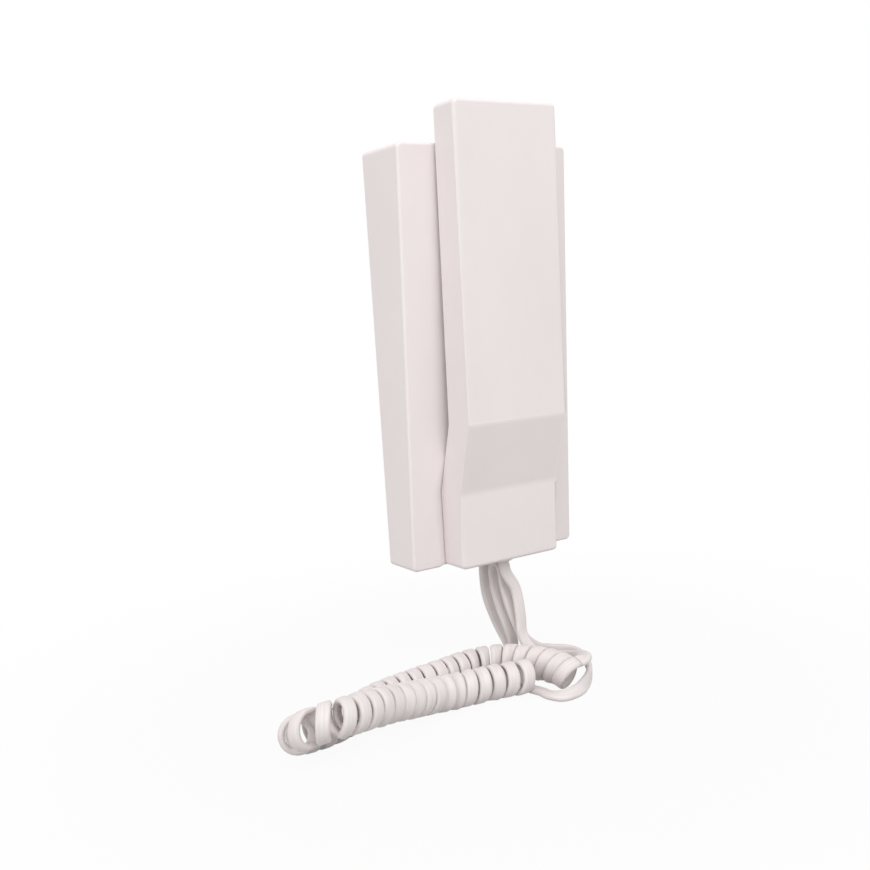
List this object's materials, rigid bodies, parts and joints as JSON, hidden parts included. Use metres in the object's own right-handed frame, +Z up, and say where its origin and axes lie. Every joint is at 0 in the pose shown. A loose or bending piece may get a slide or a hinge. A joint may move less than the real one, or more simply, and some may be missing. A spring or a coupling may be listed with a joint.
{
  "type": "audio intercom handset",
  "caption": "White wall-mounted audio intercom: a wedge-shaped wall unit, a bar handset that hangs on it over a release button, and a flat curly cord between them.",
  "frame": {"origin": "on the wall's face, midway between the two wall screws", "axes": "+Z up, -Y out of the wall towards the user, +X to the user's right"},
  "size_m": [0.1736, 0.0812, 0.2433],
  "materials": {
    "white_plastic": "fine satin moulded",
    "button_plastic": "satin",
    "white_cord": "satin extruded",
    "steel": "plated",
    "board": "solder mask",
    "terminal": "moulded",
    "black_plastic": "moulded",
    "black_rubber": "matt",
    "capsule": "satin",
    "capacitor": "sleeved",
    "weight": "as cast",
    "wire": "insulated"
  },
  "bodies": {
    "base": {"base_housing": "white_plastic", "wall_plate": "white_plastic", "locking_screw": "steel", "circuit_board": "board", "board_screws": "steel", "terminal_block": "terminal", "terminal_screws": "steel", "call_sounder": "black_plastic", "hook_switch": "black_plastic", "lever_pin": "steel", "lever_spring": "steel", "release_switch": "black_plastic", "volume_switch": "black_plastic", "capacitors": "capacitor", "control_chip": "black_plastic", "base_grommet": "white_cord", "cord_base_tail": "white_cord", "cord_coil": "white_cord", "cord_handset_tail": "white_cord"},
    "handset": {"handset_front_shell": "white_plastic", "handset_rear_cover": "white_plastic", "receiver_capsule": "capsule", "receiver_gasket": "black_rubber", "microphone_capsule": "steel", "microphone_boot": "black_rubber", "ballast_weight": "weight", "cover_screws": "steel", "handset_grommet": "white_cord", "handset_leads": "wire"},
    "hook_lever": {"hook_lever": "white_plastic"},
    "release_button": {"release_button": "button_plastic"},
    "volume_slider": {"volume_slider": "white_plastic"}
  },
  "joints": [
    {"name": "handset_lift", "type": "slide", "parent": "base", "child": "handset", "axis": [0, -0.9063, 0.4226], "range_m": [0, 0.045]},
    {"name": "hook_swing", "type": "hinge", "parent": "base", "child": "hook_lever", "pos_m": [0, -0.019, 0.034], "axis": [-1, 0, 0], "range_deg": [0, 8]},
    {"name": "release_press", "type": "slide", "parent": "base", "child": "release_button", "axis": [0, 1, 0], "range_m": [0, 0.0015], "stiffness_N_per_m": 800},
    {"name": "volume_slide", "type": "slide", "parent": "base", "child": "volume_slider", "axis": [0, 0, 1], "range_m": [-0.004, 0.004]}
  ],
  "couplings": [
    {"joint": "hook_swing", "follows": "handset_lift", "rad_per_m": 3.1}
  ]
}
